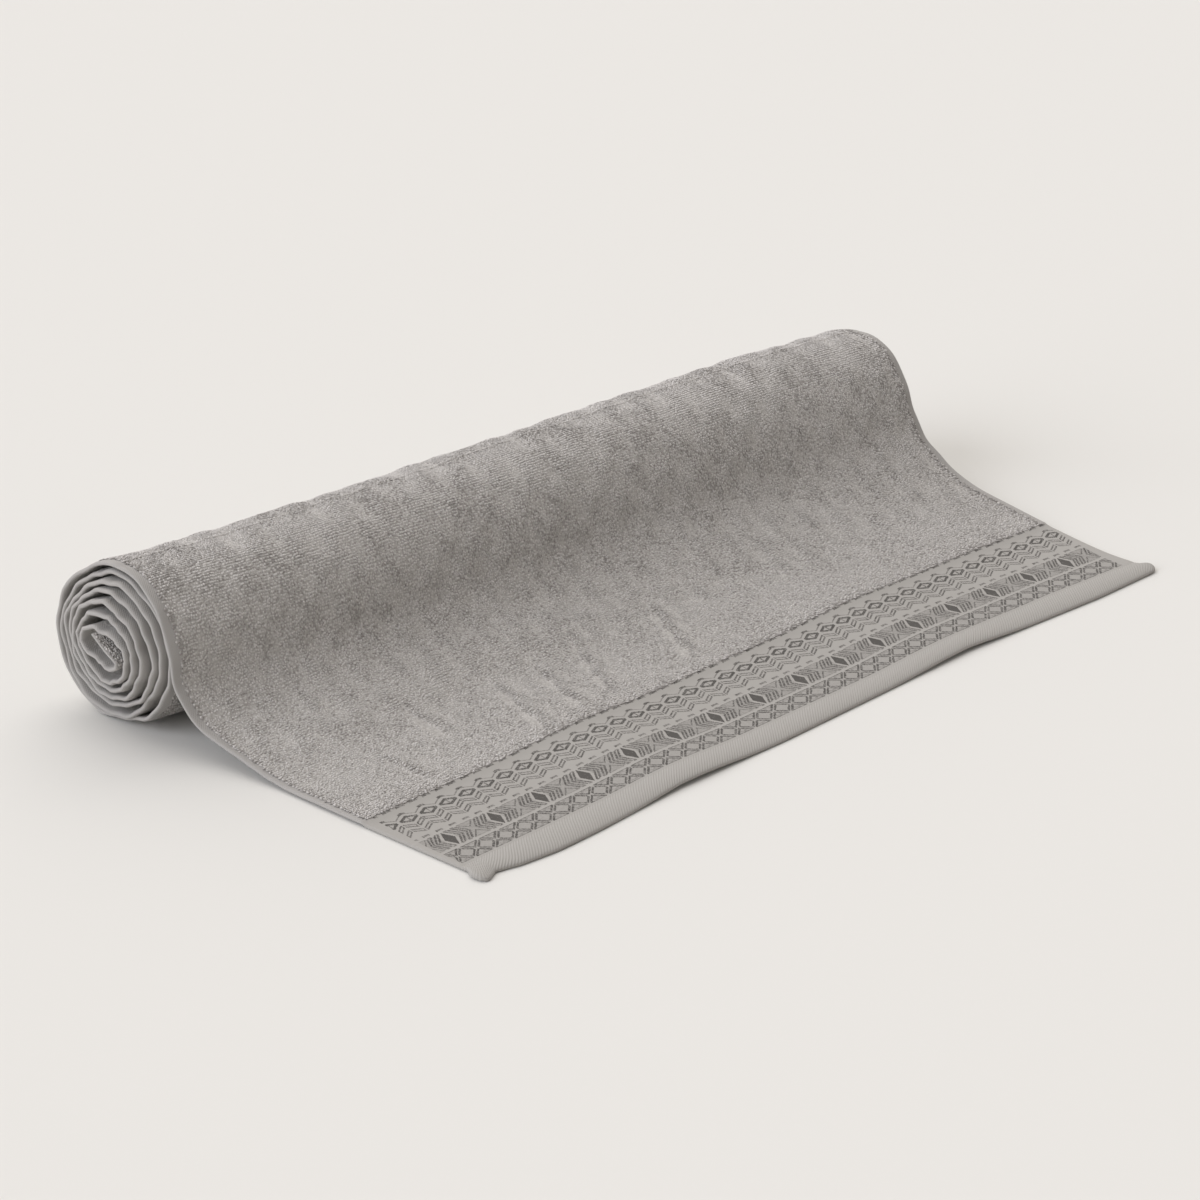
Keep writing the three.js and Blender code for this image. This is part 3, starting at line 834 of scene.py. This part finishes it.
turn = add_node(tree, "FunctionNodeRandomValue", {"Min": [-0.25, -0.25, -0.9],
                                                  "Max": [0.25, 0.25, 0.9], "Seed": 5},
                data_type="FLOAT_VECTOR")
turned = add_node(tree, "FunctionNodeRotateRotation",
                  {"Rotation": upright.outputs["Rotation"], "Rotate By": turn.outputs["Value"]},
                  rotation_space="LOCAL")
size = add_node(tree, "GeometryNodeInputNamedAttribute", {"Name": "size"}, data_type="FLOAT")
beads = add_node(tree, "GeometryNodeInstanceOnPoints",
                 {"Points": feet, "Instance": bead.outputs["Geometry"],
                  "Rotation": turned.outputs["Rotation"], "Scale": size.outputs["Attribute"]})
real = add_node(tree, "GeometryNodeRealizeInstances", {"Geometry": beads.outputs["Instances"]})
shade = add_node(tree, "GeometryNodeInputNamedAttribute", {"Name": "shade"}, data_type="FLOAT")
finished = real.outputs["Geometry"]
for material, (_, up_to) in reversed(list(zip(loop_materials, LOOP_SHADES))):
    chosen = computed(MATH, "LESS_THAN", shade.outputs["Attribute"], up_to)
    finished = add_node(tree, "GeometryNodeSetMaterial",
                        {"Geometry": finished, "Selection": chosen,
                         "Material": material}).outputs["Geometry"]
add_node(tree, "NodeGroupOutput", {"Geometry": finished})

# %% The grid of feet
LOOP_PITCH_ACROSS = 1.58
LOOP_PITCH_ALONG = 1.92
LOOPS_EDGE = SIDE_HEM - 0.6
FRILL_WIDTH = 3.5
# How far a foot may stand from its place, in millimetres: aside, onward on the loose end, and onward
# on the roll. Coming onto the roll, one goes over into the other.
ASIDE, ONWARD_LOOSE, ONWARD_WOUND = 0.55, 0.75, 0.3
WOUND_FADE = 60.0
# Sizes of the beads as shares, and how much larger they are in the frill and on the roll.
SMALLEST, LARGEST, FRILL_LARGER, WOUND_LARGER = 0.8, 1.15, 0.35, 0.06
# How high a bead sits on the ground, as shares of its own height.
LOWEST, HIGHEST = 0.1, 0.6
# Patches of darker and lighter pile. Columns: wave across, wave along, strength.
PATCHES = [(190, 110, 0.1), (-83, 140, 0.09), (47, 61, 0.07), (-29, 37, 0.05)]
# How strong they are on the loose end and on the roll, and how much painted shade darkens the frill.
PATCHES_LOOSE, PATCHES_WOUND, FRILL_PAINTED_SHADE = 0.6, 1.6, 0.45
meeting_at = length_at(MEETING_ROW)
loops_start = WEAVE_END + 0.4
randomness = np.random.default_rng(7)


def patches(u, v):
    """Where the pile lies a little lighter or darker."""
    return sum(strength * np.sin(2 * np.pi * (u / across_wave + v / along_wave) + number)
               for number, (across_wave, along_wave, strength) in enumerate(PATCHES))


def lay_loops(name, start, end, left=LOOPS_EDGE, right=BORDER_WIDTH - LOOPS_EDGE):
    """Loops on the upper face of the cloth, between two places along it and two across it."""
    columns = round((right - left) / LOOP_PITCH_ACROSS)
    rows = round((end - start) / LOOP_PITCH_ALONG)
    feet_across = np.linspace(left, right, columns + 1)
    feet_along = np.linspace(start, end, rows + 1)
    u, v = np.meshgrid(feet_across, feet_along)
    u[::2] += LOOP_PITCH_ACROSS / 2
    x, y, z, normal_y, normal_z = cloth_middle(np.interp(v, measured_length, measured_place),
                                               u / BORDER_WIDTH)
    wound = smooth((v - meeting_at) / WOUND_FADE)
    from_edge = np.minimum(np.minimum(u, BORDER_WIDTH - u) - LOOPS_EDGE, v - loops_start)
    frill = np.exp(-np.maximum(0, from_edge) / FRILL_WIDTH)
    aside = randomness.uniform(-1, 1, u.shape) * ASIDE
    onward = randomness.uniform(-1, 1, u.shape) * mix(ONWARD_LOOSE, ONWARD_WOUND, wound)
    size = randomness.uniform(SMALLEST, LARGEST, u.shape)
    size = size * (1 + FRILL_LARGER * frill) * (1 + WOUND_LARGER * wound)
    patchy = patches(u, v) * mix(PATCHES_LOOSE, PATCHES_WOUND, wound)
    # Loops in the frill are pushed towards the darker shades: painted shade at the pile's edges.
    shade = randomness.uniform(0, 1, u.shape) + patchy + FRILL_PAINTED_SHADE * frill
    lift = GROUND_THICKNESS / 2 + LOOP_SIZE[2] * randomness.uniform(LOWEST, HIGHEST, u.shape)
    x = x + aside
    y = y + normal_y * lift + normal_z * onward
    z = z + normal_z * lift - normal_y * onward
    feet = to_frame(np.stack([x, y, z], axis=-1))
    bm = bmesh.new()
    bmesh.ops.create_grid(bm, x_segments=columns, y_segments=rows, size=1)
    size_layer = bm.verts.layers.float.new("size")
    shade_layer = bm.verts.layers.float.new("shade")
    for vertex in bm.verts:
        j = round((vertex.co.x + 1) / 2 * columns)
        k = round((vertex.co.y + 1) / 2 * rows)
        vertex.co = feet[k, j]
        vertex[size_layer] = size[k, j]
        vertex[shade_layer] = shade[k, j]
    mesh = bpy.data.meshes.new(name)
    bm.to_mesh(mesh)
    bm.free()
    for material in loop_materials:
        mesh.materials.append(material)
    loops = bpy.data.objects.new(name, mesh)
    bpy.context.scene.collection.objects.link(loops)
    modifier = loops.modifiers.new("terry_loops", "NODES")
    modifier.node_group = loops_tree
    print(f"{name}: {len(mesh.vertices)} loops")
    return loops


# The loops are laid in parts, up to where the outermost turn is hidden behind the roll.
LOOP_PARTS = 5
LAST_SHARE_OF_TURN = 0.44
loops_end = length_at(CREST_ROW + LAST_SHARE_OF_TURN)
part_ends = np.linspace(loops_start, loops_end, LOOP_PARTS + 1)
loop_pieces = []
for number in range(LOOP_PARTS):
    start = part_ends[number]
    end = part_ends[number + 1] - (LOOP_PITCH_ALONG if number < LOOP_PARTS - 1 else 0)
    loop_pieces.append(lay_loops(f"terry_loops_{number + 1}", start, end))
# Loops also show in the gap under the loose end, and on the inner end that lies across the core.
GAP_DEPTH, CORE_DEPTH = 45.0, 16.0
GAP_FROM, GAP_TO = 0.58, 0.8
PAST_FOLD, CORE_EDGE, CORE_END = 0.1, 1.5, 2.0
gap_start = length_at(CREST_ROW + GAP_FROM)
gap_end = length_at(CREST_ROW + GAP_TO)
fold_at = length_at(CREST_ROW + FOLD_FROM + PAST_FOLD)
loop_pieces += [
    lay_loops("terry_loops_in_left_gap", gap_start, gap_end, right=GAP_DEPTH),
    lay_loops("terry_loops_in_right_gap", gap_start, gap_end, left=BORDER_WIDTH - GAP_DEPTH),
    lay_loops("terry_loops_in_core", fold_at, cloth_length - CORE_END, CORE_EDGE, CORE_DEPTH),
]

# %% [markdown]
# The floor is a plain pale sheet, wide enough to fill the view from every side, a hair under the
# towel so that the two never share a plane.

# %% Floor
FLOOR_HALF = 8.0
FLOOR_GAP = 0.0002
bm = bmesh.new()
bmesh.ops.create_grid(bm, x_segments=1, y_segments=1, size=FLOOR_HALF)
bmesh.ops.translate(bm, verts=bm.verts, vec=(0, 0, -FLOOR_GAP))
floor_mesh = bpy.data.meshes.new("floor")
bm.to_mesh(floor_mesh)
bm.free()
floor = bpy.data.objects.new("floor", floor_mesh)
bpy.context.scene.collection.objects.link(floor)
floor_paint, tree, shader = new_material("matte_pale_floor", 0.9, 0.0)
shader.inputs["Base Color"].default_value = linear("#DBDAD6")
floor_mesh.materials.append(floor_paint)

# %% [markdown]
# Light. The photograph has the light of a white studio: it comes from all round and back up from the
# pale floor, so only hollows are dark. More of it comes from above and behind, and a cooler part from
# the left reaches the end of the roll. An even sky and two sun lamps with wide disks do the same, and
# they light the floor evenly.

# %% Light
world = bpy.data.worlds.new("studio")
bpy.context.scene.world = world
world.use_nodes = True
sky = world.node_tree.nodes["Background"]
sky.inputs["Color"].default_value = linear("#FFF9F6")
sky.inputs["Strength"].default_value = 0.42
# Columns: name, where it shines from, width of its disk in degrees, strength, colour.
LAMPS = [
    ("soft_lamp_above", (0.45, 0.7, 1.0), 80, 2.1, "#FFFCF9"),
    ("soft_lamp_left", (-1.0, 0.3, 0.4), 60, 2.2, "#F3F6FF"),
]
for name, shines_from, disk, strength, colour in LAMPS:
    lamp_data = bpy.data.lights.new(name, "SUN")
    lamp_data.angle = math.radians(disk)
    lamp_data.energy = strength
    lamp_data.color = linear(colour)[:3]
    lamp = bpy.data.objects.new(name, lamp_data)
    lamp.rotation_euler = (-Vector(shines_from)).to_track_quat("-Z", "Y").to_euler()
    bpy.context.scene.collection.objects.link(lamp)

# %% [markdown]
# The camera stands where the photograph was taken from. Its place was solved from the woven
# diamonds and the towel's edges, in the drawing frame, so it moves with the CAD's frame.

# %% Camera
CAMERA_AT = (-2000.75, -1712.05, 1187.75)
CAMERA_TARGET = (24.65, 194.45, 3.5)
CAMERA_ROLL = math.radians(0.14)
FOCAL_LENGTH = 126.16
SENSOR = 36.0
camera_data = bpy.data.cameras.new("camera")
camera_data.sensor_width = SENSOR
camera_data.lens = FOCAL_LENGTH
camera_data.clip_end = 50
camera = bpy.data.objects.new("camera", camera_data)
bpy.context.scene.collection.objects.link(camera)
camera_at = Vector(to_frame(CAMERA_AT))
camera_aim = Vector(to_frame(CAMERA_TARGET)) - camera_at
turned = camera_aim.to_track_quat("-Z", "Y").to_matrix() @ Matrix.Rotation(CAMERA_ROLL, 3, "Z")
camera.location = camera_at
camera.rotation_euler = turned.to_euler()
bpy.context.scene.camera = camera
bpy.context.scene.view_settings.view_transform = "Standard"
print("camera distance:", round(camera_aim.length, 3))

# %% What each piece is
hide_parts("rolled_towel")
for piece in [sheet, *loop_pieces]:
    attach(piece, "root")
